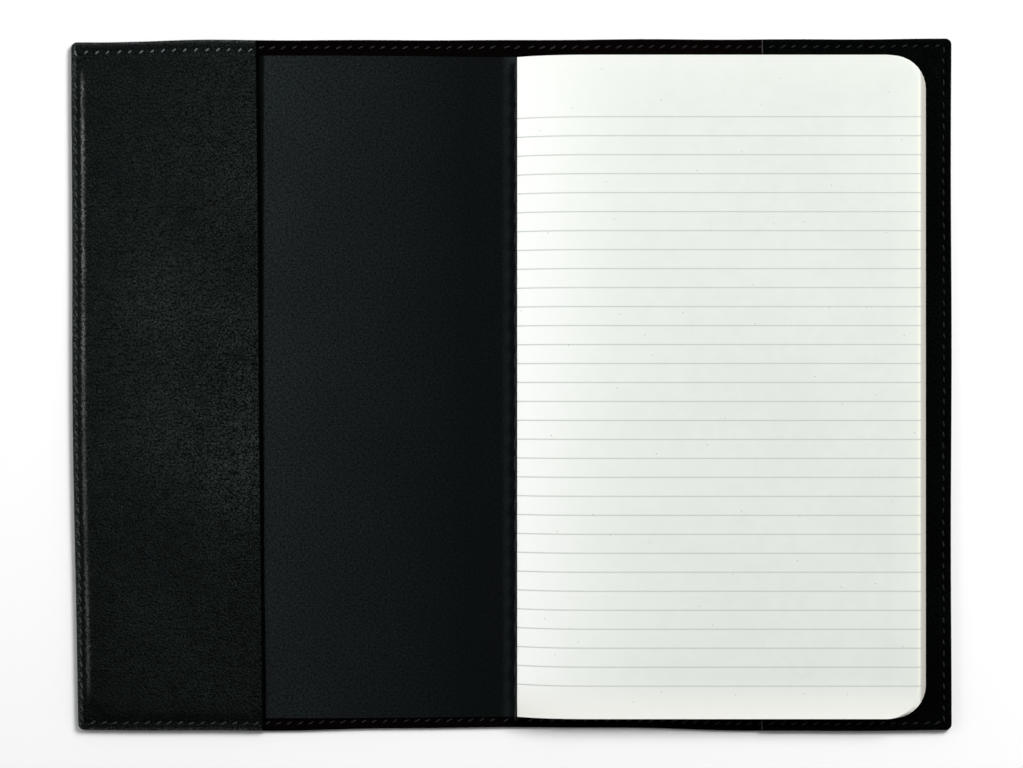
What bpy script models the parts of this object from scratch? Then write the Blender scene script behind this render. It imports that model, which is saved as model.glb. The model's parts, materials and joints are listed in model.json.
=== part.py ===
"""A leather pocket cover lying open, with a sewn ruled notebook tucked into its two flaps.

X runs across the open spread towards the ruled page, Y runs up the page and Z runs up from the
table. X = 0 is the middle of the leather spine and Y = 0 is the middle of its height.
"""

import math

import bmesh
import bpy

MM = 0.001

# Driving sizes, in millimetres.
PAGE_HEIGHT = 210.0
PAGE_WIDTH = 129.06  # from the sewn fold to the outer edge of the lowest leaf
PAGE_FAN = 2.2  # how much shorter the top leaf reaches than the lowest one
PAGE_CORNER = 10.5
LEAF_COUNT = 40
PAPER = 0.085
LEAF_PITCH = 0.10
CARD = 0.32
LEATHER = 1.0
LINING = 0.20
FLAP = 0.80
FLAP_WIDTH = 59.36  # from the fore-edge of the cover to the open edge of a pocket
FOLD_X = 1.74  # the sheets' fold lies a little to the page side of the spine's middle
HEAD_OVERHANG = 4.0  # leather past the page at head and tail
FORE_OVERHANG = 3.66  # leather past the page at the fore-edge once the cover is shut
COVER_CORNER = 1.8
THREAD_RADIUS = 0.25
SEWING_RADIUS = 0.30
SEAM_INSET_Y = 2.4
SEAM_INSET_X = 1.7

# Clearances, in millimetres.
LINING_GAP = 0.03
LAYER_GAP = 0.05
HINGE_GAP = 0.60  # bare leather each side of a fold line
EDGE_TRIM = 0.16
CLOSING_SLACK = 0.20
SEWING_SLACK = 0.19

# Heights above the table.
HINGE_Z = LEATHER / 2
LINING_Z = LEATHER + LINING_GAP
LINING_TOP = LINING_Z + LINING
CARD_Z = LINING_TOP + LAYER_GAP
CARD_TOP = CARD_Z + CARD
FLAP_Z = CARD_TOP + LAYER_GAP
FLAP_TOP = FLAP_Z + FLAP
LEAF_Z = FLAP_TOP + LAYER_GAP
BLOCK = LEAF_COUNT * LEAF_PITCH
SEWING_Z = LEAF_Z + (BLOCK - LEAF_PITCH + PAPER) / 2

# Distances along X.
SPINE_WIDTH = 2 * (FLAP_TOP - HINGE_Z) + BLOCK + CLOSING_SLACK
HINGE_X = SPINE_WIDTH / 2
CLOSING_SHIFT = HINGE_X + CARD_TOP - HINGE_Z + SEWING_RADIUS + SEWING_SLACK - FOLD_X
PAGE_EDGE = FOLD_X + PAGE_WIDTH
COVER_EDGE = PAGE_EDGE + CLOSING_SHIFT + FORE_OVERHANG
FLAP_OPENING = COVER_EDGE - FLAP_WIDTH

# Half heights along Y.
PAGE_HALF = PAGE_HEIGHT / 2
COVER_HALF = PAGE_HALF + HEAD_OVERHANG

# The pocket's raised part follows the tucked card, and its sewn border lies flat around it.
RAISED_HALF = PAGE_HALF + 0.4
BORDER_HALF = RAISED_HALF + 0.7
RAISED_EDGE = COVER_EDGE - 3.16
BORDER_EDGE = RAISED_EDGE + 0.8
RAISED_CORNER = PAGE_CORNER + 0.5

CORNER_STEPS = 8
TUBE_SIDES = 8

BACK_HINGE = (HINGE_X, 0.0, HINGE_Z)
COVER_FOLD = (0.0, 0.0, HINGE_Z + HINGE_X)
SEWN_FOLD = (FOLD_X, 0.0, SEWING_Z)
TABLE = (0.0, 0.0, 0.0)


def clear_scene():
    for old in list(bpy.data.objects):
        bpy.data.objects.remove(old, do_unlink=True)


def make_material(name, colour, roughness):
    material = bpy.data.materials.new(name)
    material.use_nodes = True
    shader = material.node_tree.nodes["Principled BSDF"]
    shader.inputs["Base Color"].default_value = (*colour, 1.0)
    shader.inputs["Roughness"].default_value = roughness
    material.diffuse_color = (*colour, 1.0)
    return material


def make_object(name, points, faces, origin, material, smooth=False):
    """One closed body from points in millimetres, its origin at the given point."""
    mesh = bpy.data.meshes.new(name)
    ox, oy, oz = origin
    vertices = [((x - ox) * MM, (y - oy) * MM, (z - oz) * MM) for x, y, z in points]
    mesh.from_pydata(vertices, [], faces)
    tidy = bmesh.new()
    tidy.from_mesh(mesh)
    bmesh.ops.recalc_face_normals(tidy, faces=tidy.faces)
    tidy.to_mesh(mesh)
    tidy.free()
    mesh.materials.append(material)
    for polygon in mesh.polygons:
        polygon.use_smooth = smooth
    made = bpy.data.objects.new(name, mesh)
    made.location = (ox * MM, oy * MM, oz * MM)
    bpy.context.scene.collection.objects.link(made)
    return made


def arc(centre, radius, start, stop, steps):
    """Points on a circle, with the angles in degrees."""
    cx, cy = centre
    found = []
    for step in range(steps + 1):
        angle = math.radians(start + (stop - start) * step / steps)
        found.append((cx + radius * math.cos(angle), cy + radius * math.sin(angle)))
    return found


def sheet_outline(inner, outer, half, inner_corner, outer_corner, inset):
    """A rectangle symmetric about Y = 0, anticlockwise, with one corner radius for each end."""
    low, high = min(inner, outer), max(inner, outer)
    if inner < outer:
        low_corner, high_corner = inner_corner, outer_corner
    else:
        low_corner, high_corner = outer_corner, inner_corner
    corners = (
        (high - high_corner, high_corner - half, high_corner, -90),
        (high - high_corner, half - high_corner, high_corner, 0),
        (low + low_corner, half - low_corner, low_corner, 90),
        (low + low_corner, low_corner - half, low_corner, 180),
    )
    outline = []
    for cx, cy, radius, start in corners:
        outline += arc((cx, cy), radius - inset, start, start + 90, CORNER_STEPS)
    return outline


def make_sheet(name, span, half, levels, corners, origin, material, chamfer=0.0):
    """A flat sheet from span[0] to span[1] along X, between the two heights in levels."""
    low, high = levels
    rings = [(0.0, low), (0.0, high)]
    if chamfer:
        rings = [
            (chamfer, low),
            (0.0, low + chamfer),
            (0.0, high - chamfer),
            (chamfer, high),
        ]
    points = []
    for inset, height in rings:
        outline = sheet_outline(*span, half, *corners, inset)
        points += [(x, y, height) for x, y in outline]
    count = len(points) // len(rings)
    faces = [list(range(count))[::-1]]
    faces.append(list(range(len(points) - count, len(points))))
    for ring in range(len(rings) - 1):
        base = ring * count
        for i in range(count):
            j = (i + 1) % count
            faces.append([base + i, base + j, base + count + j, base + count + i])
    return make_object(name, points, faces, origin, material)


def flap_line(side, edge, half, corner):
    """From the pocket's opening round the two sewn corners and back to the opening."""
    top = arc((edge - corner, half - corner), corner, 90, 0, CORNER_STEPS)
    line = [(FLAP_OPENING, half)] + top
    line += [(x, -y) for x, y in reversed(line)]
    return [(side * x, y) for x, y in line]


def make_flap(name, side, origin, material):
    """A pocket flap: a flat sewn border on three sides and a raised middle over the card."""
    edge = COVER_EDGE - EDGE_TRIM
    lines = (
        (flap_line(side, edge, COVER_HALF - EDGE_TRIM, COVER_CORNER), CARD_Z),
        (flap_line(side, BORDER_EDGE, BORDER_HALF, RAISED_CORNER + 0.7), CARD_Z),
        (flap_line(side, RAISED_EDGE, RAISED_HALF, RAISED_CORNER), FLAP_Z),
    )
    points = []
    for rise in (0.0, FLAP):
        for line, height in lines:
            points += [(x, y, height + rise) for x, y in line]
    count = len(lines[0][0])
    upper = len(lines) * count
    faces = []
    for layer in (0, upper):
        for strip in (0, 1):
            base = layer + strip * count
            for i in range(count - 1):
                faces.append([base + i, base + i + 1, base + count + i + 1, base + count + i])
        faces.append([layer + 2 * count + i for i in range(count)])
    for i in range(count - 1):
        faces.append([i, i + 1, upper + i + 1, upper + i])
    for strip in (0, 1):
        for end in (0, count - 1):
            outer = strip * count + end
            inner = outer + count
            faces.append([outer, inner, upper + inner, upper + outer])
    first, last = 2 * count, 3 * count - 1
    faces.append([first, last, upper + last, upper + first])
    return make_object(name, points, faces, origin, material)


def unit(vector):
    length = math.sqrt(sum(part * part for part in vector))
    return [part / length for part in vector]


def cross(a, b):
    return [
        a[1] * b[2] - a[2] * b[1],
        a[2] * b[0] - a[0] * b[2],
        a[0] * b[1] - a[1] * b[0],
    ]


def make_tube(name, path, radius, origin, material):
    """A round cord along a path, its first side carried along so that it never twists."""
    count = len(path)
    legs = []
    for i in range(count - 1):
        legs.append(unit([path[i + 1][axis] - path[i][axis] for axis in range(3)]))
    legs = [legs[0]] + legs + [legs[-1]]
    side = [0.0, 0.0, 1.0]
    points = []
    for i, centre in enumerate(path):
        along = unit([legs[i][axis] + legs[i + 1][axis] for axis in range(3)])
        across = unit(cross(along, side))
        side = cross(across, along)
        for step in range(TUBE_SIDES):
            angle = 2 * math.pi * (step + 0.5) / TUBE_SIDES
            a, b = radius * math.cos(angle), radius * math.sin(angle)
            points.append([centre[k] + a * across[k] + b * side[k] for k in range(3)])
    faces = [list(range(TUBE_SIDES))]
    faces.append(list(range((count - 1) * TUBE_SIDES, count * TUBE_SIDES)))
    for i in range(count - 1):
        base = i * TUBE_SIDES
        for a in range(TUBE_SIDES):
            b = (a + 1) % TUBE_SIDES
            faces.append([base + a, base + b, base + TUBE_SIDES + b, base + TUBE_SIDES + a])
    return make_object(name, points, faces, origin, material, smooth=True)


def seam_path(side):
    """From the spine along the head, over the flap, down the fore-edge and back at the tail."""
    lift = THREAD_RADIUS + LAYER_GAP
    low, high = LINING_TOP + lift, CARD_Z + FLAP + lift
    seam_y = COVER_HALF - SEAM_INSET_Y
    seam_x = COVER_EDGE - SEAM_INSET_X
    corner = 2.0
    step = arc((FLAP_OPENING - 2 * lift, low + lift), lift, -90, 0, 3)
    step += arc((FLAP_OPENING, high - lift), lift, 180, 90, 3)
    half = [(HINGE_X + 1.55, seam_y, low)]
    half += [(x, seam_y, z) for x, z in step]
    turn = arc((seam_x - corner, seam_y - corner), corner, 90, 0, 4)
    half += [(x, y, high) for x, y in turn]
    path = half + [(x, -y, z) for x, y, z in reversed(half)]
    return [(side * x, y, z) for x, y, z in path]


clear_scene()

leather = make_material("black_leather", (0.013, 0.015, 0.016), 0.5)
lining = make_material("dark_lining_leather", (0.016, 0.013, 0.012), 0.6)
card = make_material("black_card", (0.016, 0.018, 0.021), 0.75)
paper = make_material("ivory_paper", (0.80, 0.80, 0.72), 0.85)
thread = make_material("black_thread", (0.010, 0.010, 0.011), 0.55)

# The cover: outer leather, thin lining and pocket flap of each half.
for half_name, sign, hinge in (("back", 1, BACK_HINGE), ("front", -1, COVER_FOLD)):
    origin = TABLE if half_name == "back" else hinge
    make_sheet(
        "leather_" + half_name,
        (sign * (HINGE_X + HINGE_GAP), sign * COVER_EDGE),
        COVER_HALF,
        (0.0, LEATHER),
        (0.3, COVER_CORNER),
        origin,
        leather,
        chamfer=0.2,
    )
    make_sheet(
        "lining_" + half_name,
        (sign * (HINGE_X + HINGE_GAP + 0.05), sign * (COVER_EDGE - EDGE_TRIM)),
        COVER_HALF - EDGE_TRIM,
        (LINING_Z, LINING_TOP),
        (0.3, COVER_CORNER),
        origin,
        lining,
    )
    make_flap("pocket_flap_" + half_name, sign, origin, leather)
    make_tube("seam_thread_" + half_name, seam_path(sign), THREAD_RADIUS, origin, thread)

# The spine between the two fold lines.
spine_edge = HINGE_X - HINGE_GAP
make_sheet(
    "leather_spine",
    (-spine_edge, spine_edge),
    COVER_HALF,
    (0.0, LEATHER),
    (0.3, 0.3),
    BACK_HINGE,
    leather,
    chamfer=0.2,
)
lining_edge = spine_edge - 0.35
make_sheet(
    "lining_spine",
    (-lining_edge, lining_edge),
    COVER_HALF - EDGE_TRIM,
    (LINING_Z, LINING_TOP),
    (0.3, 0.3),
    BACK_HINGE,
    lining,
)
for end_name, sign in (("top", 1), ("bottom", -1)):
    seam_y = sign * (COVER_HALF - SEAM_INSET_Y)
    seam_z = LINING_TOP + THREAD_RADIUS + LAYER_GAP
    seam_end = HINGE_X - 1.45
    make_tube(
        "seam_thread_spine_" + end_name,
        [(-seam_end, seam_y, seam_z), (seam_end, seam_y, seam_z)],
        THREAD_RADIUS,
        BACK_HINGE,
        thread,
    )

# The notebook's own card cover, in three stiff strips.
for strip_name, span, corners, origin in (
    ("back", (HINGE_X - 0.35, PAGE_EDGE + 0.1), (0.3, PAGE_CORNER), SEWN_FOLD),
    ("spine", (1.45 - HINGE_X, FOLD_X - 0.09), (0.3, 0.3), BACK_HINGE),
    ("front", (-HINGE_X - 1.15, 0.3 - RAISED_EDGE), (0.3, PAGE_CORNER), COVER_FOLD),
):
    make_sheet("card_" + strip_name, span, PAGE_HALF, (CARD_Z, CARD_TOP), corners, origin, card)

# The ruled leaves, numbered from the top one, turning about the sewn fold.
for number in range(1, LEAF_COUNT + 1):
    bottom = LEAF_Z + (LEAF_COUNT - number) * LEAF_PITCH
    reach = PAGE_EDGE - PAGE_FAN * (LEAF_COUNT - number) / (LEAF_COUNT - 1)
    make_sheet(
        f"leaf_{number:02d}",
        (FOLD_X + SEWING_RADIUS + 0.1, reach),
        PAGE_HALF,
        (bottom, bottom + PAPER),
        (0.1, PAGE_CORNER),
        SEWN_FOLD,
        paper,
    )

sewn_half = PAGE_HALF - 1.5
make_tube(
    "sewing_thread",
    [(FOLD_X, -sewn_half, SEWING_Z), (FOLD_X, 0.0, SEWING_Z), (FOLD_X, sewn_half, SEWING_Z)],
    SEWING_RADIUS,
    SEWN_FOLD,
    thread,
)
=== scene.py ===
import json
import math

import bpy
import numpy as np
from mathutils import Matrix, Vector


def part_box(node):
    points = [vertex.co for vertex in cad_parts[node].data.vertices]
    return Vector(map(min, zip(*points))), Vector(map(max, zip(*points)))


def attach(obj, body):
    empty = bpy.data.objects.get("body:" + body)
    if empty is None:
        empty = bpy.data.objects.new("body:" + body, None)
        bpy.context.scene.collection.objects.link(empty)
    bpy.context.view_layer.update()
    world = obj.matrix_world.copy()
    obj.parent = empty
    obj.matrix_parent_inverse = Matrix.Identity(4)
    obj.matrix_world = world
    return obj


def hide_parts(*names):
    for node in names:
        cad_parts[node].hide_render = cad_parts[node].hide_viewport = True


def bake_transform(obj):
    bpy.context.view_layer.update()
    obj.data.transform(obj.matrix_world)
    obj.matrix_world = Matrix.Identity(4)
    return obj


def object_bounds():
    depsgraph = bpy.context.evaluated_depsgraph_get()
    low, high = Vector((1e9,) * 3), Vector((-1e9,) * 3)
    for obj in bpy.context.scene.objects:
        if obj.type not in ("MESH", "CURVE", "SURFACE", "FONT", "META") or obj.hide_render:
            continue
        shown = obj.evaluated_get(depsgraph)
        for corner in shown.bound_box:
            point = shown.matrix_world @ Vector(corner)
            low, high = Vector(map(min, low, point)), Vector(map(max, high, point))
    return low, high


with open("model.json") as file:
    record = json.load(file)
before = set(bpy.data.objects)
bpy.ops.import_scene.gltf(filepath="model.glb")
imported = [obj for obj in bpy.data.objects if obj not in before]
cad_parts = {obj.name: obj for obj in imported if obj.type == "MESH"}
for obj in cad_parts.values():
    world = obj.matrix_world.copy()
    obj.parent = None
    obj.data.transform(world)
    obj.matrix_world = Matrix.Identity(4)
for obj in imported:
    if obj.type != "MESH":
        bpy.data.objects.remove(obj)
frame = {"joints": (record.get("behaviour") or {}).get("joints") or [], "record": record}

CAD_LOW, CAD_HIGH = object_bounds()
MM = 0.001

# Places read from the frame, in millimetres.
EDGE = CAD_HIGH.x / MM
HALF = CAD_HIGH.y / MM
PAGE_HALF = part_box("leaf_01")[1].y / MM
PAGE_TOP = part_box("leaf_01")[1].x / MM
PAGE_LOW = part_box("leaf_40")[1].x / MM
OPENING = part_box("pocket_flap_back")[0].x / MM
FLAP_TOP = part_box("pocket_flap_back")[1].z / MM
LEATHER_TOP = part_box("leather_back")[1].z / MM
LINING_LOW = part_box("lining_back")[0].z / MM
LINING_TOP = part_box("lining_back")[1].z / MM
CARD_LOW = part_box("card_back")[0].z / MM
CARD_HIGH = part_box("card_back")[1].z / MM
CARD_OUT = -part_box("card_front")[0].x / MM
JOINTS = {j["name"]: j for j in frame["joints"]}
HINGE_X = JOINTS["spine_fold"]["pos_m"][0] / MM
FOLD_X = JOINTS["turn_leaf_01"]["pos_m"][0] / MM
SEWING_Z = JOINTS["turn_leaf_01"]["pos_m"][2] / MM
NODE_BODY = {n: b for b, ns in frame["record"]["behaviour"]["bodies"].items() for n in ns}

# Sizes of the cover, in millimetres.
FLAP_THICK = 0.8
BORDER_Z = CARD_LOW + FLAP_THICK  # upper face of a flap's sewn border
COVER_CORNER = 1.8
LINING_CORNER = 1.7
LINING_INSET = 0.2
FLAP_INSET = 0.16
FOLD_GROOVE = 0.22  # depth of the crease under each fold line
SEAM_Y = HALF - 2.35
SEAM_LEFT = EDGE - 1.35
SEAM_RIGHT = EDGE - 2.5
SEAM_PITCH = 3.45
SEAM_TURN = 1.2  # from the last stitch of a row to the line of the next one
RIDGE_X = EDGE - 3.2  # where the front flap climbs over the tucked card

# How the seam's stitches lie: length, width and lift in millimetres, lean in degrees.
STITCH_LENGTH = 2.15
STITCH_WIDTH = 0.54
STITCH_LIFT = 0.20
STITCH_LEAN = 26
HEAD_LEAN = 43  # the front flap's upper row: steeper, shorter and lower
HEAD_LENGTH = 0.78
HEAD_DROP = 0.9
FRONT_COLUMN_LEAN = 22
BACK_COLUMN_LEAN = 9

# Sizes of the notebook, in millimetres.
PAGE_CORNER = 10.5
PAGE_SHARE = 0.9966  # seen height of a page over its height in the frame
PAGE_DROP = 0.52
LEAF_COUNT = 40
NOTCHED_LEAVES = 3  # the leaves whose fold shows the pull of the sewing
SEWING_PITCH = 6.5
LINE_FIRST = PAGE_HALF - 19.6
LINE_PITCH = 6.0
LINE_COUNT = 31
THINNEST = 0.03

COOL_TINT = (0.80, 1.0, 0.96, 1)
RANGE_SOCKETS = ("From Min", "From Max", "To Min", "To Max")


def smooth(t):
    t = np.clip(t, 0.0, 1.0)
    return t * t * (3 - 2 * t)


def waves(x, y, seed, size, octaves=3):
    """A smooth, repeatable field of small undulations between about -1 and 1."""
    rng = np.random.default_rng(seed)
    total = np.zeros(np.broadcast(x, y).shape)
    for octave in range(octaves):
        for _ in range(4):
            angle, phase = rng.uniform(0, 2 * math.pi, 2)
            k = 2 * math.pi * 2**octave / size * rng.uniform(0.7, 1.3)
            along = x * math.cos(angle) + y * math.sin(angle)
            total = total + np.sin(k * along + phase) / 2**octave
    return total / 5


def cover_shift(x, y):
    """How far the hand-made cover strays from square: its left end leans and its edges wave."""
    v = (y + HALF) / (2 * HALF)
    low = np.clip(1 - v, 0, 1)
    outer = smooth((-x - 85) / 50)
    lean = (1.35 * low - 0.6 * v) * (1 - outer) + (2.2 * low**2.6 - 0.3) * outer
    lean = smooth((-x - 20) / 55) * lean
    ends = 0.6 * smooth((x - 90) / 45) - 0.35 * smooth((-x - 90) / 45)
    side = np.abs(x) / EDGE * 0.12 * np.sin(y / 19.0 + np.sign(x))
    wave = 0.14 * np.sin(x / 23.0 + 1.0) + 0.07 * np.sin(x / 7.3 + 2.0)
    head = 0.15 + 0.25 * smooth(x / 90) - 1.0 * smooth((-x - 92) / 42)
    head = head - 0.25 * np.exp(-(x / 25.0) ** 2)
    tail = 0.9 * np.exp(-((x / 62.0) ** 4)) - 0.1
    up = np.where(y > 0, y / HALF * (head + wave), -y / HALF * (tail + wave))
    return lean + side + ends, up


def finish_mesh(name, points, faces, flat=None, angle=35.0):
    """Millimetre points to a smooth-shaded object, its flat map the resting X and Y in metres."""
    mesh = bpy.data.meshes.new(name)
    points = np.asarray(points, float) * MM
    mesh.from_pydata(points.tolist(), [], [list(f) for f in faces])
    mesh.validate()
    mesh.polygons.foreach_set("use_smooth", [True] * len(mesh.polygons))
    mesh.set_sharp_from_angle(angle=math.radians(angle))
    flat = points[:, :2] if flat is None else np.asarray(flat, float) * MM
    index = np.zeros(len(mesh.loops), np.int32)
    mesh.loops.foreach_get("vertex_index", index)
    layer = mesh.uv_layers.new(name="flat")
    layer.data.foreach_set("uv", flat[index].astype(np.float32).ravel())
    made = bpy.data.objects.new(name, mesh)
    bpy.context.scene.collection.objects.link(made)
    return made


def slab(name, xs, ys, top, bottom, flat, bulge, angle=35.0):
    """A thin closed sheet over a grid: top, underside and a rounded edge all the way round."""
    rows, cols = xs.shape
    count = rows * cols
    upper = np.stack([xs, ys, top], -1).reshape(-1, 3)
    lower = np.stack([xs, ys, bottom], -1).reshape(-1, 3)
    index = np.arange(count).reshape(rows, cols)
    a, b = index[:-1, :-1].ravel(), index[:-1, 1:].ravel()
    c, d = index[1:, 1:].ravel(), index[1:, :-1].ravel()
    faces = np.stack([a, b, c, d], -1).tolist()
    faces += (np.stack([d, c, b, a], -1) + count).tolist()
    loop = np.concatenate([index[0, :-1], index[:-1, -1], index[-1, :0:-1], index[:0:-1, 0]])
    middle = (upper[loop] + lower[loop]) / 2
    before, after = np.roll(middle, 1, 0), np.roll(middle, -1, 0)
    along = after - before
    out = np.stack([along[:, 1], -along[:, 0]], -1)
    out /= np.maximum(np.linalg.norm(out, axis=1, keepdims=True), 1e-9)
    middle[:, :2] += out * bulge
    points = np.concatenate([upper, lower, middle])
    n = len(loop)
    for i in range(n):
        j = (i + 1) % n
        mi, mj = 2 * count + i, 2 * count + j
        faces.append([loop[i], mi, mj, loop[j]])
        faces.append([mi, count + loop[i], count + loop[j], mj])
    plan = np.stack(flat, -1).reshape(-1, 2)
    return finish_mesh(name, points, faces, np.concatenate([plan, plan, plan[loop]]), angle)


def rows_for(half, corner, step, arc_steps):
    """Row heights up a sheet, closer together round its corners."""
    turn = half - corner + corner * np.sin(np.linspace(0, math.pi / 2, arc_steps + 1))
    body = np.linspace(0, half - corner, max(2, int((half - corner) / step)) + 1)[:-1]
    up = np.concatenate([body, turn])
    return np.concatenate([-up[:0:-1], up])


def round_end(y, half, corner):
    """How far a rounded corner pulls the sheet's end in, at each row."""
    over = np.clip(np.abs(y) - (half - corner), 0, corner)
    return corner - np.sqrt(np.maximum(corner**2 - over**2, 0))


# Materials -------------------------------------------------------------------------------------


class Paint:
    """A small helper round one material's node tree. Places on the flat map are in metres."""

    def __init__(self, name):
        self.material = bpy.data.materials.new(name)
        self.material.use_nodes = True
        self.tree = self.material.node_tree
        self.shader = self.tree.nodes["Principled BSDF"]
        self.flat = self.add("ShaderNodeUVMap", uv_map="flat").outputs["UV"]
        self.tint = (1, 1, 1, 1)

    def add(self, kind, **settings):
        node = self.tree.nodes.new(kind)
        for key, value in settings.items():
            setattr(node, key, value)
        return node

    def link(self, value, socket):
        if isinstance(value, (int, float)):
            socket.default_value = value
        elif isinstance(value, tuple):
            color = len(value) == 3 and socket.type == "RGBA"
            socket.default_value = (*value, 1.0) if color else value
        else:
            self.tree.links.new(value, socket)

    def math(self, operation, *values, clamp=False):
        node = self.add("ShaderNodeMath", operation=operation, use_clamp=clamp)
        for value, socket in zip(values, node.inputs):
            self.link(value, socket)
        return node.outputs[0]

    def times(self, *values, clamp=False):
        """The product of all the values, clamped at the end if asked."""
        total = values[0]
        for left, value in zip(range(len(values) - 2, -1, -1), values[1:]):
            total = self.math("MULTIPLY", total, value, clamp=clamp and left == 0)
        return total

    def place(self, stretch, seed):
        node = self.add("ShaderNodeMapping")
        self.link(self.flat, node.inputs["Vector"])
        node.inputs["Location"].default_value = (seed, seed * 0.7, 0)
        node.inputs["Scale"].default_value = (*stretch, 1)
        return node.outputs[0]

    def noise(self, cell, detail=3.0, roughness=0.55, stretch=(1, 1), seed=0.0):
        """Noise whose features are about cell millimetres wide."""
        node = self.add("ShaderNodeTexNoise", noise_dimensions="2D")
        self.link(self.place(stretch, seed), node.inputs["Vector"])
        node.inputs["Scale"].default_value = 1 / (cell * MM)
        node.inputs["Detail"].default_value = detail
        node.inputs["Roughness"].default_value = roughness
        return node.outputs["Fac"]

    def cells(self, cell, feature, stretch=(1, 1)):
        """Distances in a pattern of cells about cell millimetres wide."""
        node = self.add("ShaderNodeTexVoronoi", voronoi_dimensions="2D", feature=feature)
        self.link(self.place(stretch, 0.0), node.inputs["Vector"])
        node.inputs["Scale"].default_value = 1 / (cell * MM)
        return node.outputs["Distance"]

    def fade(self, value, low, high, out_low=0.0, out_high=1.0):
        """A clamped ramp from out_low at low to out_high at high."""
        node = self.add("ShaderNodeMapRange", clamp=True)
        self.link(value, node.inputs["Value"])
        for socket, number in zip(RANGE_SOCKETS, (low, high, out_low, out_high)):
            self.link(number, node.inputs[socket])
        return node.outputs[0]

    def band(self, value, rise, fall):
        """1 between a rising and a falling ramp, 0 outside them."""
        falling = self.fade(value, *fall, 1.0, 0.0)
        return self.math("MINIMUM", self.fade(value, *rise), falling)

    def crease(self, noise, width):
        """1 where the noise passes its middle value, 0 further off than width."""
        away = self.math("ABSOLUTE", self.math("SUBTRACT", noise, 0.5))
        return self.fade(away, 0.0, width, 1.0, 0.0)

    def square(self, value, centre, width):
        """Squared distance from a centre, counted in widths."""
        off = self.math("DIVIDE", self.math("SUBTRACT", value, centre), width)
        return self.math("MULTIPLY", off, off)

    def hump(self, squared):
        return self.math("EXPONENT", self.math("MULTIPLY", squared, -1.0))

    def mix(self, share, first, second):
        node = self.add("ShaderNodeMix", data_type="RGBA")
        self.link(share, node.inputs[0])
        self.link(first, node.inputs[6])
        self.link(second, node.inputs[7])
        return node.outputs[2]

    def split(self):
        """The flat map's X and Y."""
        node = self.add("ShaderNodeSeparateXYZ")
        self.link(self.flat, node.inputs[0])
        return node.outputs[0], node.outputs[1]

    def bump(self, height, depth, strength=1.0, onto=None):
        """A normal from heights, where 1 stands for depth millimetres."""
        node = self.add("ShaderNodeBump")
        node.inputs["Strength"].default_value = strength
        node.inputs["Distance"].default_value = depth * MM
        self.link(height, node.inputs["Height"])
        if onto is not None:
            self.link(onto, node.inputs["Normal"])
        return node.outputs[0]

    def set(self, color, rough, normal, spec):
        self.link(color, self.shader.inputs["Base Color"])
        self.link(rough, self.shader.inputs["Roughness"])
        self.link(normal, self.shader.inputs["Normal"])
        self.link(spec, self.shader.inputs["Specular IOR Level"])
        self.shader.inputs["Specular Tint"].default_value = self.tint
        return self.material


def painted_sheen_shade_and_blotch_share(p, share, x, y):
    """Light share of the front flap's grain: a painted sheen across the middle and in a painted
    sheen patch, random blotches, painted shade in fine wrinkles and along the cut lip, darker
    towards the fore-edge and towards the tail.
    """
    # Painted sheen: lighter in a band across the middle, darker towards the fore-edge.
    painted_sheen_band = p.hump(p.square(y, 0.018, 0.080))
    inner = p.fade(x, -0.132, -0.112, 0.62, 0.98)
    share = p.times(share, p.times(p.math("MULTIPLY_ADD", painted_sheen_band, 0.62, 0.38), inner))
    # A painted sheen patch by the lip, a little below the middle.
    painted_sheen_patch = p.hump(p.math("ADD", p.square(x, -0.084, 0.010), p.square(y, -0.014, 0.030)))
    share = p.times(share, p.math("ADD", painted_sheen_patch, 1.0))
    blotch = p.noise(3.2, 4.0, 0.62, seed=9.3)
    share = p.times(share, p.fade(blotch, 0.33, 0.67, 0.62, 1.38))
    # Painted shade in fine wrinkles and short creases, strongest in the sheen patch.
    wrinkle = p.crease(p.noise(7.0, 3.0, 0.55, seed=12.1), 0.03)
    wrinkle = p.times(wrinkle, p.math("MULTIPLY_ADD", painted_sheen_patch, 0.9, 0.25))
    lines = p.times(p.crease(p.noise(4.0, 2.0, 0.5, (0.45, 2.4), 4.4), 0.05), painted_sheen_patch)
    painted_crease_shade = p.times(p.math("ADD", wrinkle, lines), 0.35)
    share = p.math("SUBTRACT", share, painted_crease_shade, clamp=True)
    # Painted shade along the cut lip, where it rounds down, and the flap darker towards the tail.
    lip = p.fade(x, -(OPENING + 1.5) * MM, -(OPENING + 0.9) * MM, 1.0, 0.0)
    return p.times(share, lip, p.fade(y, -0.1045, -0.0985, 0.30, 1.0))


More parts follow.
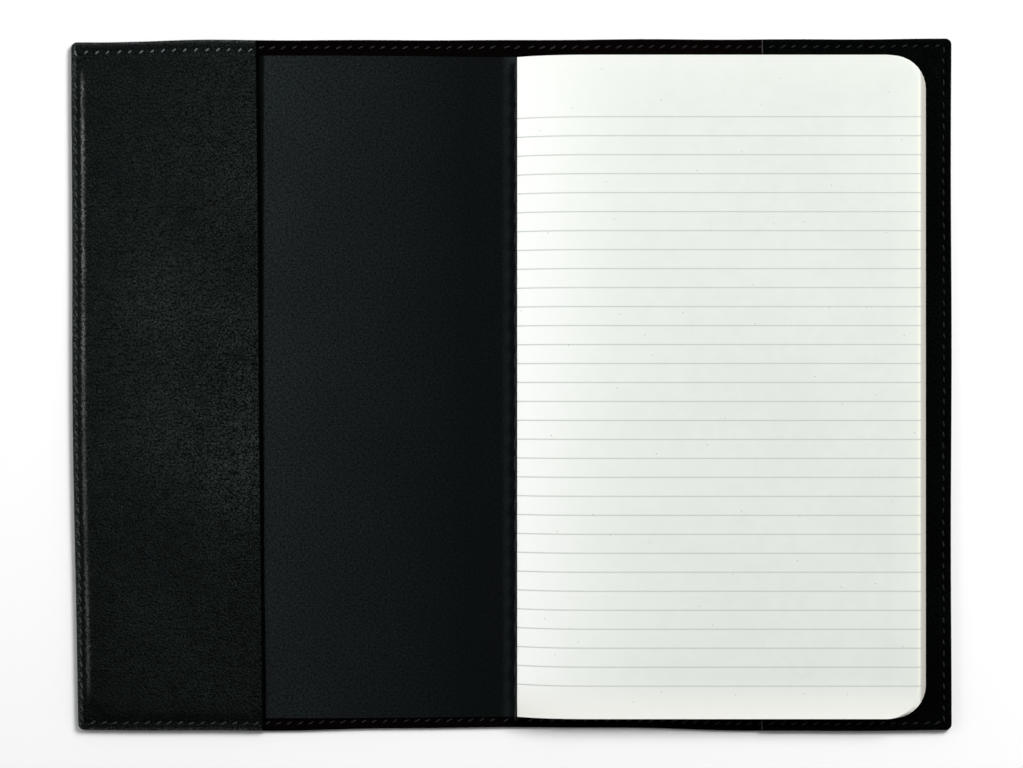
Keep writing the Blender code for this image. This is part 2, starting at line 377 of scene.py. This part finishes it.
def painted_ridge_light_and_scuffs(p, color, base, x, y):
    """The front flap's painted highlight along the ridge over the card, painted shade in its sewn
    channel, and its rim with scuffs and painted glints.
    """
    # A painted highlight along the ridge, with a brighter painted core.
    wobble = p.math("MULTIPLY_ADD", p.noise(1.5, 3.0, 0.7, seed=6.2), 0.0020, -0.0010)
    off = p.math("ADD", p.math("ADD", x, RIDGE_X * MM), wobble)
    streak = p.noise(0.42, 3.0, 0.8, (1.3, 0.7), 3.7)
    broad = p.noise(16.0, 2.0, 0.5, seed=2.6)
    ends = p.fade(p.math("ABSOLUTE", y), 0.094, 0.101, 1.0, 0.0)
    ridge = p.times(p.band(off, (-0.0004, 0.0), (0.0003, 0.0013)),
                    p.fade(streak, 0.42, 0.58, 0.05, 1.55), p.fade(y, -0.070, 0.020, 0.55, 1.0),
                    p.fade(broad, 0.35, 0.6, 0.45, 1.0), ends)
    color = p.mix(ridge, color, (0.085, 0.090, 0.090))
    core = p.times(p.band(off, (-0.0002, 0.0001), (0.0003, 0.0008)), ridge,
                   p.fade(y, -0.02, 0.05, 0.1, 0.5))
    color = p.mix(core, color, (0.20, 0.21, 0.21))
    # Painted shade in the sewn channel.
    sewn = p.math("ABSOLUTE", p.math("SUBTRACT", y, (SEAM_Y - 0.7) * MM))
    color = p.mix(p.fade(sewn, 0.0008, 0.0013, 0.72, 0.0), color, base)
    # Scuffs along the rim, with painted glints.
    from_side = p.math("SUBTRACT", EDGE * MM, p.math("ABSOLUTE", x))
    from_end = p.math("SUBTRACT", HALF * MM, p.math("ABSOLUTE", y))
    rim = p.math("MINIMUM", from_side, p.math("MULTIPLY_ADD", from_end, 1.4, 0.0003))
    rough_spots = p.fade(p.noise(0.55, 3.0, 0.8, seed=7.7), 0.52, 0.62)
    scuff_and_glint = p.times(p.fade(rim, 0.0010, 0.0018, 1.0, 0.0), rough_spots)
    return p.mix(scuff_and_glint, color, (0.075, 0.088, 0.085))


def leather_paint(name, base, light, rough, grain, depth, spec, with_painted_light_and_wear=False):
    """Printed pebble grain with creases, pores, worn high spots and a soft sheen."""
    p = Paint(name)
    p.tint = COOL_TINT
    pebble = p.cells(grain, "SMOOTH_F1")
    crease = p.cells(grain * 1.9, "DISTANCE_TO_EDGE", stretch=(1.0, 0.8))
    fine = p.noise(grain * 0.5, 4.0, 0.65)
    broad = p.noise(38.0, 3.0, 0.5, seed=3.1)
    patch = p.noise(9.0, 4.0, 0.6, seed=1.7)
    height = p.times(p.math("SUBTRACT", 1.0, pebble), p.fade(crease, 0.0, 0.12, 0.35, 1.0))
    height = p.math("ADD", height, p.times(fine, 0.45))
    normal = p.bump(patch, 0.12, 0.35, p.bump(height, depth))
    share = p.times(p.fade(height, 0.55, 1.25), p.fade(broad, 0.3, 0.75, 0.45, 1.0), clamp=True)
    # The front flap: painted sheen, highlight and shade, with blotches and scuffs.
    if with_painted_light_and_wear:
        x, y = p.split()
        color = p.mix(painted_sheen_shade_and_blotch_share(p, share, x, y), base, light)
        color = painted_ridge_light_and_scuffs(p, color, base, x, y)
    else:
        color = p.mix(share, base, light)
    gloss = p.math("ADD", p.fade(height, 0.4, 1.2, rough + 0.14, rough - 0.06),
                   p.fade(patch, 0.3, 0.7, -0.05, 0.07))
    return p.set(color, gloss, normal, spec)


def card_paint():
    """Matt black card: short pressed fibres, fine pale specks and a faint blue cast, painted
    lighter towards the flap, the head and the fold, with a painted shadow under the flap's lip.
    """
    p = Paint("card_black")
    fibre = p.noise(0.42, 4.0, 0.7, stretch=(1.0, 0.5))
    cross = p.noise(0.45, 4.0, 0.7, stretch=(0.5, 1.0), seed=2.0)
    weave = p.math("ADD", fibre, cross)
    speck = p.noise(0.30, 2.0, 0.8, seed=5.0)
    broad = p.noise(30.0, 3.0, 0.5, seed=4.0)
    share = p.math("ADD", p.fade(weave, 0.75, 1.3), p.fade(speck, 0.62, 0.75, 0.0, 0.5))
    share = p.times(share, p.fade(broad, 0.3, 0.7, 0.85, 1.0), clamp=True)
    share = p.math("ADD", share, 0.02)
    x, y = p.split()
    # Painted shadow under the flap's lip.
    painted_lip_shadow = p.fade(x, -(OPENING - 0.45) * MM, -(OPENING - 1.1) * MM, 0.0, 1.0)
    # Painted light: lighter towards the flap and the head, and lighter again by the fold.
    share = p.times(share, p.fade(x, -0.080, -0.014, 1.02, 0.20),
                    p.fade(y, -0.105, 0.105, 0.78, 1.12), p.fade(x, -0.0035, 0.0008, 1.0, 3.0),
                    painted_lip_shadow, clamp=True)
    color = p.mix(share, (0.0011, 0.0018, 0.0019), (0.0190, 0.0250, 0.0262))
    # More painted light right by the fold, against the shadow of the leaves.
    color = p.mix(p.fade(x, -0.0030, 0.0012, 0.0, 0.42), color, (0.030, 0.038, 0.039))
    rough = p.fade(weave, 0.7, 1.3, 0.78, 0.62)
    return p.set(color, rough, p.bump(weave, 0.05), spec=0.03)


def thread_paint(name, base, light):
    """Waxed thread with slanting plies and painted glints on them, brightest along the front flap's
    upper row, faint off the front flap and fainter still, as painted shade, on the back half.
    """
    p = Paint(name)
    x, y = p.split()
    twist = p.math("SINE", p.times(p.math("ADD", x, y), 14000.0))
    fuzz = p.noise(0.2, 3.0, 0.7)
    # Painted glints: strong on the front flap's stitches, faint elsewhere and fainter on the back
    # half as painted shade; strongest on the head row, weakest on the tail row.
    on_flap = p.fade(x, -(OPENING + 1.0) * MM, -OPENING * MM, 1.0, 0.06)
    on_front = p.fade(x, 0.0, 0.06, 1.0, 0.15)
    rows = p.math("ADD", p.fade(y, -0.1050, -0.1000, 0.14, 0.30),
                  p.fade(y, 0.1035, 0.1045, 0.0, 0.70))
    painted_lighting = p.times(on_flap, on_front, rows)
    color = p.mix(p.times(p.fade(twist, -0.6, 1.0), painted_lighting), base, light)
    rough = p.fade(fuzz, 0.3, 0.7, 0.28, 0.44)
    return p.set(color, rough, p.bump(p.math("ADD", twist, fuzz), 0.05), spec=0.25)


def ruling(p, y, fibre):
    """How strongly each place is inked by one of the ruled lines."""
    place = p.math("DIVIDE", p.math("SUBTRACT", LINE_FIRST * MM, y), LINE_PITCH * MM)
    nearest = p.math("ROUND", place)
    away = p.math("ABSOLUTE", p.math("SUBTRACT", place, nearest))
    return p.times(p.fade(away, 0.020, 0.042, 1.0, 0.0),
                   p.math("GREATER_THAN", nearest, -0.5),
                   p.math("LESS_THAN", nearest, LINE_COUNT - 0.5),
                   p.fade(fibre, 0.3, 0.6, 0.52, 0.78))


def paper_paint(name, shade, first_page):
    """Smooth writing paper with pulp mottling, whiter towards the fold as painted light, warm
    edges, painted shade where a lower leaf shows beyond the first, and thin grey ruling.
    """
    p = Paint(name)
    x, y = p.split()
    mottle = p.noise(5.0, 4.0, 0.6)
    cloud = p.noise(38.0, 2.0, 0.5, seed=6.0)
    fibre = p.noise(0.35, 3.0, 0.7, seed=8.0)
    body = (0.700 * shade, 0.738 * shade, 0.690 * shade)
    bright = (0.790 * shade, 0.812 * shade, 0.775 * shade)
    white = (0.970 * shade, 0.985 * shade, 0.960 * shade)
    warm = (0.865 * shade, 0.860 * shade, 0.815 * shade)
    color = p.mix(p.fade(p.math("ADD", mottle, cloud), 0.8, 1.25, 0.0, 0.28), body, bright)
    # Painted light: whiter towards the fold.
    painted_fold_light = p.math("EXPONENT", p.times(p.math("SUBTRACT", x, 0.004), -50.0))
    color = p.mix(p.math("MINIMUM", painted_fold_light, 1.0), color, white)
    down = p.times(y, -1.0)
    at_side = p.fade(x, (PAGE_TOP - 9) * MM, (PAGE_TOP - 0.3) * MM, 0.0, 0.2)
    at_head = p.fade(y, (PAGE_HALF - 14) * MM, PAGE_HALF * MM, 0.0, 0.22)
    at_tail = p.fade(down, (PAGE_HALF - 13) * MM, (PAGE_HALF - 1) * MM, 0.0, 1.0)
    at_edge = p.math("MAXIMUM", at_side, p.math("MAXIMUM", at_head, at_tail))
    color = p.mix(at_edge, color, warm)
    if first_page:
        turned = p.fade(x, (PAGE_TOP - 0.75) * MM, (PAGE_TOP - 0.35) * MM, 0.0, 0.8)
        color = p.mix(turned, color, (0.880, 0.870, 0.730))
    else:
        # Painted shade where a lower leaf shows beyond the first leaf.
        painted_lighting = p.fade(x, (PAGE_TOP + 0.15) * MM, (PAGE_TOP + 0.75) * MM, 0.0, 1.0)
        color = p.mix(painted_lighting, color, (0.505, 0.488, 0.454))
    color = p.mix(ruling(p, y, fibre), color, (0.440, 0.480, 0.450))
    if first_page:
        dot = p.add("ShaderNodeTexVoronoi", voronoi_dimensions="2D", feature="F1")
        p.link(p.flat, dot.inputs["Vector"])
        dot.inputs["Scale"].default_value = 1 / 0.021
        rare = p.math("LESS_THAN", dot.outputs["Distance"], 0.0085)
        color = p.mix(p.times(rare, 0.6), color, (0.25, 0.24, 0.22))
    rough = p.fade(fibre, 0.3, 0.7, 0.78, 0.90)
    return p.set(color, rough, p.bump(p.math("ADD", fibre, mottle), 0.02), spec=0.25)


def edge_paint():
    """A flap's cut lip, inked matt black, with a raw line left on the back flap."""
    p = Paint("leather_cut_edge")
    fibre = p.noise(0.4, 4.0, 0.7)
    color = p.mix(fibre, (0.0003, 0.0003, 0.0003), (0.0011, 0.0012, 0.0012))
    x, _ = p.split()
    on_back = p.math("GREATER_THAN", x, 0.0)
    line = p.fade(x, (OPENING + 0.25) * MM, (OPENING + 0.45) * MM, 1.0, 0.0)
    raw = p.times(on_back, line, p.fade(fibre, 0.35, 0.6, 0.15, 1.0))
    color = p.mix(raw, color, (0.060, 0.055, 0.052))
    return p.set(color, p.fade(fibre, 0.3, 0.7, 0.75, 0.9), p.bump(fibre, 0.05), spec=0.0)


# The front flap's leather, with painted sheen, highlight and shade besides blotches and scuffs.
leather = leather_paint(
    "flap_leather", base=(0.0003, 0.0005, 0.0005), light=(0.0235, 0.0300, 0.0285),
    rough=0.31, grain=0.66, depth=0.18, spec=0.07, with_painted_light_and_wear=True)
# The back flap's leather: a much darker copy of the front flap's, as painted shade.
leather_shaded_copy = leather_paint(
    "flap_leather_shaded", base=(0.0002, 0.0002, 0.0002), light=(0.0030, 0.0038, 0.0036),
    rough=0.36, grain=0.62, depth=0.14, spec=0.006)
outer_leather = leather_paint(
    "outer_leather", base=(0.0010, 0.0014, 0.0014), light=(0.0075, 0.0095, 0.0100),
    rough=0.36, grain=1.1, depth=0.14, spec=0.15)
lining = leather_paint(
    "lining_leather", base=(0.0012, 0.0007, 0.0007), light=(0.0035, 0.0022, 0.0022),
    rough=0.66, grain=0.6, depth=0.04, spec=0.0)
card = card_paint()
cut_edge = edge_paint()
# The lighter colours are painted glints on the thread.
thread = thread_paint("seam_thread_black", (0.0010, 0.0012, 0.0014), (0.260, 0.285, 0.290))
sewing = thread_paint("sewing_thread_dark", (0.0030, 0.0036, 0.0040), (0.016, 0.019, 0.021))
paper_top = paper_paint("paper_first_page", 1.0, first_page=True)
paper_low = paper_paint("paper_lower", 0.97, first_page=False)


def dress(piece, material, slot, *nodes):
    piece.data.materials.clear()
    piece.data.materials.append(material)
    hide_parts(*nodes)
    return piece


# The leather, its lining and the flaps ---------------------------------------------------------


def seam_dip(x, y, with_column):
    """Depth of the sewn channel along head and tail and, on a flap, down its fore-edge."""
    across = np.abs(np.abs(y) - SEAM_Y)
    if with_column:
        column = np.where(x < 0, SEAM_LEFT, SEAM_RIGHT)
        across = np.minimum(across, np.abs(np.abs(x) - column))
    return 0.13 * np.exp(-((across / 0.75) ** 2))


def spaced(values, least):
    """The values in order, without any closer than least to the one before it."""
    values = np.unique(np.round(values, 3))
    keep = np.concatenate([[True], np.diff(values) > least])
    keep[-1] = True
    return values[keep]


def edge_rows(half, depth, corner, step):
    """Extra rows along head and tail, from depth inside the edge up to the round corner."""
    rows = np.arange(half - depth, half - corner, step)
    return np.concatenate([rows, -rows])


def cover_grid(last, half, corner, fine=0.55):
    """Grid from the front fold line out to X = last, finer near the fold lines and the rims."""
    first = -HINGE_X
    parts = [np.linspace(first, last, int(abs(last - first) / 2.2) + 2)]
    for fold in (HINGE_X, -HINGE_X):
        parts.append(np.arange(fold - 3.0, fold + 3.0, fine))
    xs = np.clip(np.concatenate(parts), min(first, last), max(first, last))
    ys = np.concatenate([rows_for(half, corner, 2.0, 6), edge_rows(half, 4.4, corner, fine)])
    gx, gy = np.meshgrid(spaced(xs, fine * 0.4), spaced(ys, 0.02))
    span = last - first
    shorter = span - np.sign(span) * round_end(gy, half, corner)
    return first + (gx - first) * shorter / span, gy


def cover_layer(name, last, low, high, half, corner, material, slot, nodes, bulge):
    """One layer of the cover, from the front fold line out to X = last, gently uneven."""
    gx, gy = cover_grid(last, half, corner)
    dx, dy = cover_shift(gx, gy)
    rim = np.minimum(half - np.abs(gy), np.abs(np.abs(gx) - EDGE))
    thin = 0.14 * np.exp(-((rim / 0.5) ** 2))
    dip = seam_dip(gx, gy, False)
    if high - low < 0.5:
        top = high - 0.3 * thin - 0.10 * dip
        bottom = np.full_like(gx, low)
    else:
        folds = sum(np.exp(-(((gx - fold) / 0.8) ** 2)) for fold in (HINGE_X, -HINGE_X))
        sag = 0.035 * waves(gx, gy, 5, 60)
        top = high + sag * 0.4 - thin * 0.6 - 0.5 * dip
        bottom = low + thin + FOLD_GROOVE * folds
    piece = slab(name, gx + dx, gy + dy, top, bottom, flat=(gx, gy), bulge=bulge)
    return dress(piece, material, slot, *nodes)


def make_layer(label, low, high, half, corner, inset, material, slot, node, bulge):
    """A layer's front piece, and its back piece, which runs on across the back fold line."""
    front = cover_layer(f"{label}_front_skin", inset - EDGE, low, high, half, corner, material,
                        slot, [f"{node}_front"], bulge)
    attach(front, "cover_front")
    back = cover_layer(f"{label}_back_skin", EDGE - inset, low, high, half, corner, material,
                       slot, [f"{node}_back", f"{node}_spine"], bulge)
    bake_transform(back)


make_layer("leather", 0.0, LEATHER_TOP, HALF, COVER_CORNER, 0.0, outer_leather,
           "leather", "leather", bulge=0.1)
make_layer("lining", LINING_LOW, LINING_TOP, HALF - LINING_INSET, LINING_CORNER, LINING_INSET,
           lining, "lining_leather", "lining", bulge=0.02)


def flap_height(x, y, side):
    """How far a flap stands above its sewn border, where it climbs over the card's edge.

    Also gives the distance inside the card's edge.
    """
    card_edge = CARD_OUT if side < 0 else CARD_OUT - 0.2
    corner = 11.0
    qx = np.maximum(np.abs(x) - (card_edge - corner), 0)
    qy = np.maximum(np.abs(y) - (PAGE_HALF - corner + 0.1), 0)
    inside = corner - np.sqrt(qx**2 + qy**2)
    inside = np.where((qx == 0) & (qy == 0), corner, inside)
    endwise = smooth(qy / np.maximum(np.hypot(qx, qy), 1e-6) * 1.25 - 0.25)
    start = 1.45 if side < 0 else 0.9
    climb = smooth((inside + start + 0.3 * endwise) / (1.4 + 2.4 * endwise))
    rise = (FLAP_TOP - BORDER_Z) * climb
    uneven = 0.75 + 0.25 * np.sin(y / 17.0 + 1.3) * np.sin(y / 6.1)
    crest = (0.20 if side < 0 else 0.0) * uneven * (1 - endwise)
    return rise + crest * np.exp(-(((inside + 0.1) / 0.7) ** 2)), inside


def flap_grid(side):
    """Grid over a flap, finer at its lip, its fore-edge, its head and its tail."""
    last = EDGE - FLAP_INSET
    half = HALF - FLAP_INSET
    lip = OPENING + np.array([0.0, 0.12, 0.3, 0.55, 0.85, 1.15, 1.6])
    xs = np.concatenate([lip, np.arange(OPENING + 2.4, EDGE - 6, 1.25),
                         np.arange(EDGE - 6, last - 0.01, 0.33), [last]])
    rows = rows_for(half, COVER_CORNER, 1.15, 5)
    ys = np.concatenate([rows, edge_rows(half, 6.0, COVER_CORNER, 0.33)])
    gx, gy = np.meshgrid(xs, spaced(ys, 0.02))
    span = last - OPENING
    gx = OPENING + (gx - OPENING) * (span - round_end(gy, half, COVER_CORNER)) / span
    if side < 0:
        return -gx[:, ::-1], gy[:, ::-1]
    return gx, gy


def make_flap(name, side, body, nodes):
    """A pocket flap: its raised part, sewn border and cut lip, which is the second material."""
    gx, gy = flap_grid(side)
    rise, inside = flap_height(gx, gy, side)
    lip = np.exp(-((np.abs(gx) - OPENING) / 0.6) ** 2)
    rim = np.minimum(HALF - FLAP_INSET - np.abs(gy), EDGE - FLAP_INSET - np.abs(gx))
    soft = smooth(inside / 8.0)
    wrinkle = 0.05 * waves(gx, gy, 11, 34) * soft + 0.025 * waves(gx, gy, 12, 9) * soft
    top = BORDER_Z + rise + wrinkle - seam_dip(gx, gy, True)
    top = top - 0.22 * np.exp(-((rim / 0.5) ** 2)) - 0.22 * lip
    bottom = BORDER_Z - FLAP_THICK + np.minimum(rise, FLAP_TOP - BORDER_Z) + 0.02
    bottom = np.minimum(bottom, top - 0.3)
    dx, dy = cover_shift(gx, gy)
    wander = 0.10 * np.sin(gy / 13.0) * lip * side
    piece = slab(name, gx + dx + wander, gy + dy, top, bottom, flat=(gx, gy), bulge=0.10)
    # The back flap takes the darker copy of the leather: painted shade.
    dress(piece, leather if side < 0 else leather_shaded_copy, "leather", *nodes)
    piece.data.materials.append(cut_edge)
    flat = piece.data.uv_layers["flat"].data
    lip_end = (OPENING + 1.2) * MM
    for face in piece.data.polygons:
        if all(abs(flat[i].uv[0]) < lip_end for i in face.loop_indices):
            face.material_index = 1
    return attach(piece, body)


make_flap("pocket_flap_front_skin", -1, "cover_front", ["pocket_flap_front"])
make_flap("pocket_flap_back_skin", 1, "cover_back", ["pocket_flap_back"])


# Stitches --------------------------------------------------------------------------------------


def tube_faces(rings, sides, base):
    """Walls of a tube whose points run ring by ring, starting at number base."""
    faces = []
    for r in range(rings - 1):
        near, far = base + r * sides, base + (r + 1) * sides
        for s in range(sides):
            n = (s + 1) % sides
            faces.append([near + s, near + n, far + n, far + s])
    last = base + (rings - 1) * sides
    faces.append(list(range(base, base + sides))[::-1])
    faces.append(list(range(last, last + sides)))
    return faces


def stitch(centre, direction, length, width, height, rng, base):
    """One short thread between two needle holes, thick midway and diving in at both ends."""
    rings, sides = 7, 8
    along = np.array([math.cos(direction), math.sin(direction), 0.0])
    across = np.array([-along[1], along[0], 0.0])
    points = []
    lift = height * rng.uniform(0.85, 1.1)
    for r in range(rings):
        t = -1 + 2 * r / (rings - 1)
        radius = width / 2 * (1 - 0.72 * abs(t) ** 3.5)
        arch = lift * (1 - abs(t) ** 2.6) - 0.24 * abs(t) ** 5
        middle = centre + along * (t * length / 2) + np.array([0, 0, arch])
        for s in range(sides):
            a = 2 * math.pi * s / sides
            upward = np.array([0, 0, radius * 0.8 * math.sin(a)])
            points.append(middle + across * (radius * math.cos(a)) + upward)
    return points, tube_faces(rings, sides, base)


def seam_places(side, first):
    """X, Y, running direction, on the flap or not, and lean of every stitch in one half's seam."""
    places = []
    column = SEAM_LEFT if side < 0 else SEAM_RIGHT
    for end in (1, -1):
        for x in np.arange(first, column - SEAM_TURN, SEAM_PITCH):
            front_head = side < 0 and end > 0 and x > OPENING
            lean, drop = (HEAD_LEAN, HEAD_DROP) if front_head else (STITCH_LEAN, 0.0)
            places.append((side * x, end * SEAM_Y - drop, 0.0, x > OPENING + 0.6, lean))
    length = 2 * (SEAM_Y - SEAM_TURN)
    count = int(length / SEAM_PITCH)
    lean = FRONT_COLUMN_LEAN if side < 0 else BACK_COLUMN_LEAN
    for i in range(count + 1):
        y = -SEAM_Y + SEAM_TURN + length / count * i
        places.append((side * column, y, math.pi / 2, True, lean))
    return places


def make_seam(name, places, body, nodes):
    """One mesh of all the stitches at the places given, each a little different."""
    rng = np.random.default_rng(21)
    points, faces = [], []
    for x, y, running, on_flap, usual_lean in places:
        if on_flap:
            rise, _ = flap_height(np.array(x), np.array(y), np.sign(x))
            ground = BORDER_Z + float(rise) - 0.13
        else:
            ground = LINING_TOP - 0.02
        dx, dy = cover_shift(np.array(x), np.array(y))
        centre = np.array([x + float(dx), y + float(dy), ground + 0.06])
        centre[:2] += rng.normal(0, 0.07, 2)
        lean = math.radians(rng.normal(usual_lean, 4))
        length = rng.normal(STITCH_LENGTH, 0.12)
        if usual_lean == HEAD_LEAN:
            length *= HEAD_LENGTH
        width = rng.normal(STITCH_WIDTH, 0.04)
        new, new_faces = stitch(centre, running + lean, length, width, STITCH_LIFT, rng,
                                len(points))
        points += new
        faces += new_faces
    piece = finish_mesh(name, points, faces, angle=60)
    dress(piece, thread, "thread", *nodes)
    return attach(piece, body)


SPINE_PLACES = [(x, end * SEAM_Y, 0.0, False, STITCH_LEAN)
                for end in (1, -1) for x in (-1.55, 1.75)]
make_seam("seam_stitches_front", seam_places(-1, HINGE_X + 1.9), "cover_front",
          ["seam_thread_front"])
make_seam("seam_stitches_back", seam_places(1, HINGE_X + 2.2), "cover_back", ["seam_thread_back"])
make_seam("seam_stitches_spine", SPINE_PLACES, "cover_spine",
          ["seam_thread_spine_top", "seam_thread_spine_bottom"])


# The notebook's card cover ---------------------------------------------------------------------


def in_pocket(y):
    """Where a notebook Y is drawn: a hair short, and a hair low between the rims."""
    return y * PAGE_SHARE - PAGE_DROP


def make_card(name, first, last, corner, body, nodes, bow=0.0):
    """A piece of card from X = first to X = last, where bow lifts its open middle a little."""
    span = abs(last - first)
    xs = np.linspace(first, last, max(6, int(span / 2.0)))
    gx, gy = np.meshgrid(xs, rows_for(PAGE_HALF, corner, 3.0, 8))
    if corner > 1:
        gx = first + (gx - first) * (span - round_end(gy, PAGE_HALF, corner)) / span
    if last < first:
        gx, gy = gx[:, ::-1], gy[:, ::-1]
    away = np.abs(gx)
    lift = bow * smooth((away - 8) / 30) * smooth((OPENING - 3 - away) / 30)
    lift = lift * (1 + 0.5 * waves(gx, gy, 31, 120))
    toward = 1 - 0.0042 * np.exp(-((gx + 2) / 30.0) ** 2)
    piece = slab(name, gx, in_pocket(gy * toward), CARD_HIGH + lift, CARD_LOW + lift + 0.02,
                 flat=(gx, gy), bulge=0.03)
    dress(piece, card, "card", *nodes)
    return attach(piece, body)


make_card("card_front_sheet", -HINGE_X, -CARD_OUT, PAGE_CORNER, "cover_front", ["card_front"],
          bow=0.28)
make_card("card_spine_strip", -HINGE_X, FOLD_X - 0.15, 0.3, "cover_spine", ["card_spine"])
make_card("card_back_sheet", HINGE_X - 0.35, PAGE_LOW + 0.1, PAGE_CORNER, "notebook",
          ["card_back"])


# The leaves ------------------------------------------------------------------------------------


def page_profile(away):
    """Share of a leaf's full height above or below the sewn fold, by distance from it."""
    t = np.clip(away / 26.0, 0, 1)
    return 1 - (1 - t) ** 3


def fan(number):
    """How much further than the first leaf each leaf reaches, in small uneven steps."""
    steps = np.random.default_rng(7).uniform(0.2, 1.8, LEAF_COUNT)
    steps[[4, 11, 19, 26, 33]] += 5.0
    steps[0] = 0.0
    return float(np.cumsum(steps)[number - 1] / steps.sum() * (PAGE_LOW - PAGE_TOP))


def make_leaf(number):
    """One leaf, rising or sinking from the sewn fold to its own height in the block."""
    name = f"leaf_{number:02d}"
    low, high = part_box(name)
    first = number == 1
    start = FOLD_X + 0.06
    length = PAGE_TOP + fan(number) - start
    near = np.array([0, 0.25, 0.6, 1.1, 1.8, 2.8, 4.0, 5.6, 7.5, 10, 13, 17, 21, 26])
    tail = np.array([0.0, 0.3, 0.9, 1.8, 3.2, 5.5, 9.0])
    body = np.linspace(32, length - 12, 34 if first else 12)
    s = np.unique(np.concatenate([near, body, length - tail]))
    ys = rows_for(PAGE_HALF, PAGE_CORNER, 0.65 if first else 6.5, 12 if first else 9)
    gs, gy = np.meshgrid(s / s[-1], ys)
    notch = 0.0
    if number <= NOTCHED_LEAVES:
        half_pitch = SEWING_PITCH / 2
        notch = 0.32 * np.exp(-(((gy + 2.0) % SEWING_PITCH - half_pitch) / 0.55) ** 2)
    width = length - round_end(gy, PAGE_HALF, PAGE_CORNER)
    gx = start + notch * (1 - gs) ** 8 + gs * width
    away = gx - FOLD_X
    squeeze = 1 - 0.035 * (0.5 + 0.5 * waves(gx, gy, 41, 140, 2)) * smooth(away / 30)
    share = page_profile(away)
    top, bottom = (SEWING_Z + (z / MM - SEWING_Z) * share * squeeze for z in (high.z, low.z))
    plan = in_pocket(gy * (1 - 0.0062 * (1 - page_profile(away * 0.9))))
    piece = slab(name + "_sheet", gx, plan, np.maximum(top, bottom + THINNEST), bottom,
                 flat=(gx, gy), bulge=0.0, angle=50)
    dress(piece, paper_top if first else paper_low, "paper", name)
    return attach(piece, NODE_BODY[name])


for leaf_number in range(1, LEAF_COUNT + 1):
    make_leaf(leaf_number)


def make_sewing():
    """Long running stitches lying in the fold, over a core thread behind them."""
    rng = np.random.default_rng(3)
    points, faces = [], []
    for i in range(int((2 * PAGE_HALF - 5) / SEWING_PITCH) + 1):
        y = in_pocket(-PAGE_HALF + 2.6 + SEWING_PITCH * i)
        centre = np.array([FOLD_X - 0.55 + rng.normal(0, 0.05), y, SEWING_Z - 0.2])
        direction = math.pi / 2 + rng.normal(0, 0.03)
        new, new_faces = stitch(centre, direction, 5.4, 0.62, 0.34, rng, len(points))
        points += new
        faces += new_faces
    low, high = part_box("sewing_thread")
    base, rings, sides, radius = len(points), 41, 10, 0.32
    for y in np.linspace(low.y, high.y, rings) / MM:
        for s in range(sides):
            a = 2 * math.pi * s / sides
            points.append(np.array([FOLD_X - 0.3 + radius * math.cos(a), y,
                                    SEWING_Z - 0.35 + radius * math.sin(a)]))
    faces += [face[::-1] for face in tube_faces(rings, sides, base)]
    piece = finish_mesh("sewing_stitches", points, faces, angle=60)
    dress(piece, sewing, "thread", "sewing_thread")
    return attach(piece, "notebook")


make_sewing()


# Floor, light and camera -----------------------------------------------------------------------

FLOOR_HALF = 3.0
FLOOR_SHADE = 0.968
CAMERA_HEIGHT = 1.6
CAMERA_UP = 0.0004
VIEW_WIDTH = 0.32352941  # metres of table across the picture
SENSOR = 36


def make_floor():
    mesh = bpy.data.meshes.new("floor")
    r = FLOOR_HALF
    mesh.from_pydata([(-r, -r, 0), (r, -r, 0), (r, r, 0), (-r, r, 0)], [], [(0, 1, 2, 3)])
    floor = bpy.data.objects.new("floor", mesh)
    floor.location.z = -0.0002
    bpy.context.scene.collection.objects.link(floor)
    paint = bpy.data.materials.new("floor_white")
    paint.use_nodes = True
    shader = paint.node_tree.nodes["Principled BSDF"]
    shader.inputs["Base Color"].default_value = (FLOOR_SHADE, FLOOR_SHADE, FLOOR_SHADE, 1)
    shader.inputs["Roughness"].default_value = 0.9
    shader.inputs["Specular IOR Level"].default_value = 0.1
    mesh.materials.append(paint)


def area_light(name, place, size, power, aim=(0, 0, 0)):
    data = bpy.data.lights.new(name, "AREA")
    data.shape = "RECTANGLE"
    data.size, data.size_y = size, size
    data.energy = power
    light = bpy.data.objects.new(name, data)
    bpy.context.scene.collection.objects.link(light)
    light.location = place
    light.rotation_mode = "QUATERNION"
    light.rotation_quaternion = (Vector(aim) - Vector(place)).to_track_quat("-Z", "Y")


def make_world():
    """A white studio with a dark ceiling, so that black surfaces facing up stay black."""
    world = bpy.data.worlds.new("studio")
    bpy.context.scene.world = world
    world.use_nodes = True
    tree = world.node_tree
    back = tree.nodes["Background"]
    place = tree.nodes.new("ShaderNodeTexCoord")
    split_up = tree.nodes.new("ShaderNodeSeparateXYZ")
    fade = tree.nodes.new("ShaderNodeMapRange")
    tree.links.new(place.outputs["Generated"], split_up.inputs[0])
    tree.links.new(split_up.outputs["Z"], fade.inputs["Value"])
    for socket, number in zip(RANGE_SOCKETS, (0.30, 0.70, 0.80, 0.0)):
        fade.inputs[socket].default_value = number
    tree.links.new(fade.outputs[0], back.inputs["Strength"])
    back.inputs["Color"].default_value = (0.985, 1.0, 0.99, 1)


def make_camera():
    """Straight above the open cover."""
    data = bpy.data.cameras.new("camera")
    data.sensor_width = SENSOR
    data.lens = SENSOR * CAMERA_HEIGHT / VIEW_WIDTH
    data.clip_start, data.clip_end = 0.05, 20
    camera = bpy.data.objects.new("camera", data)
    bpy.context.scene.collection.objects.link(camera)
    camera.location = (0.0, CAMERA_UP, CAMERA_HEIGHT)
    bpy.context.scene.camera = camera


make_floor()
area_light("key", (0.76, 0.78, 1.12), 0.68, 26.6)
area_light("side", (-0.46, 0.10, 0.36), 0.30, 0.7, aim=(-0.04, 0, 0))
make_world()
make_camera()
bpy.context.scene.view_settings.view_transform = "Standard"
bpy.context.scene.view_settings.look = "None"
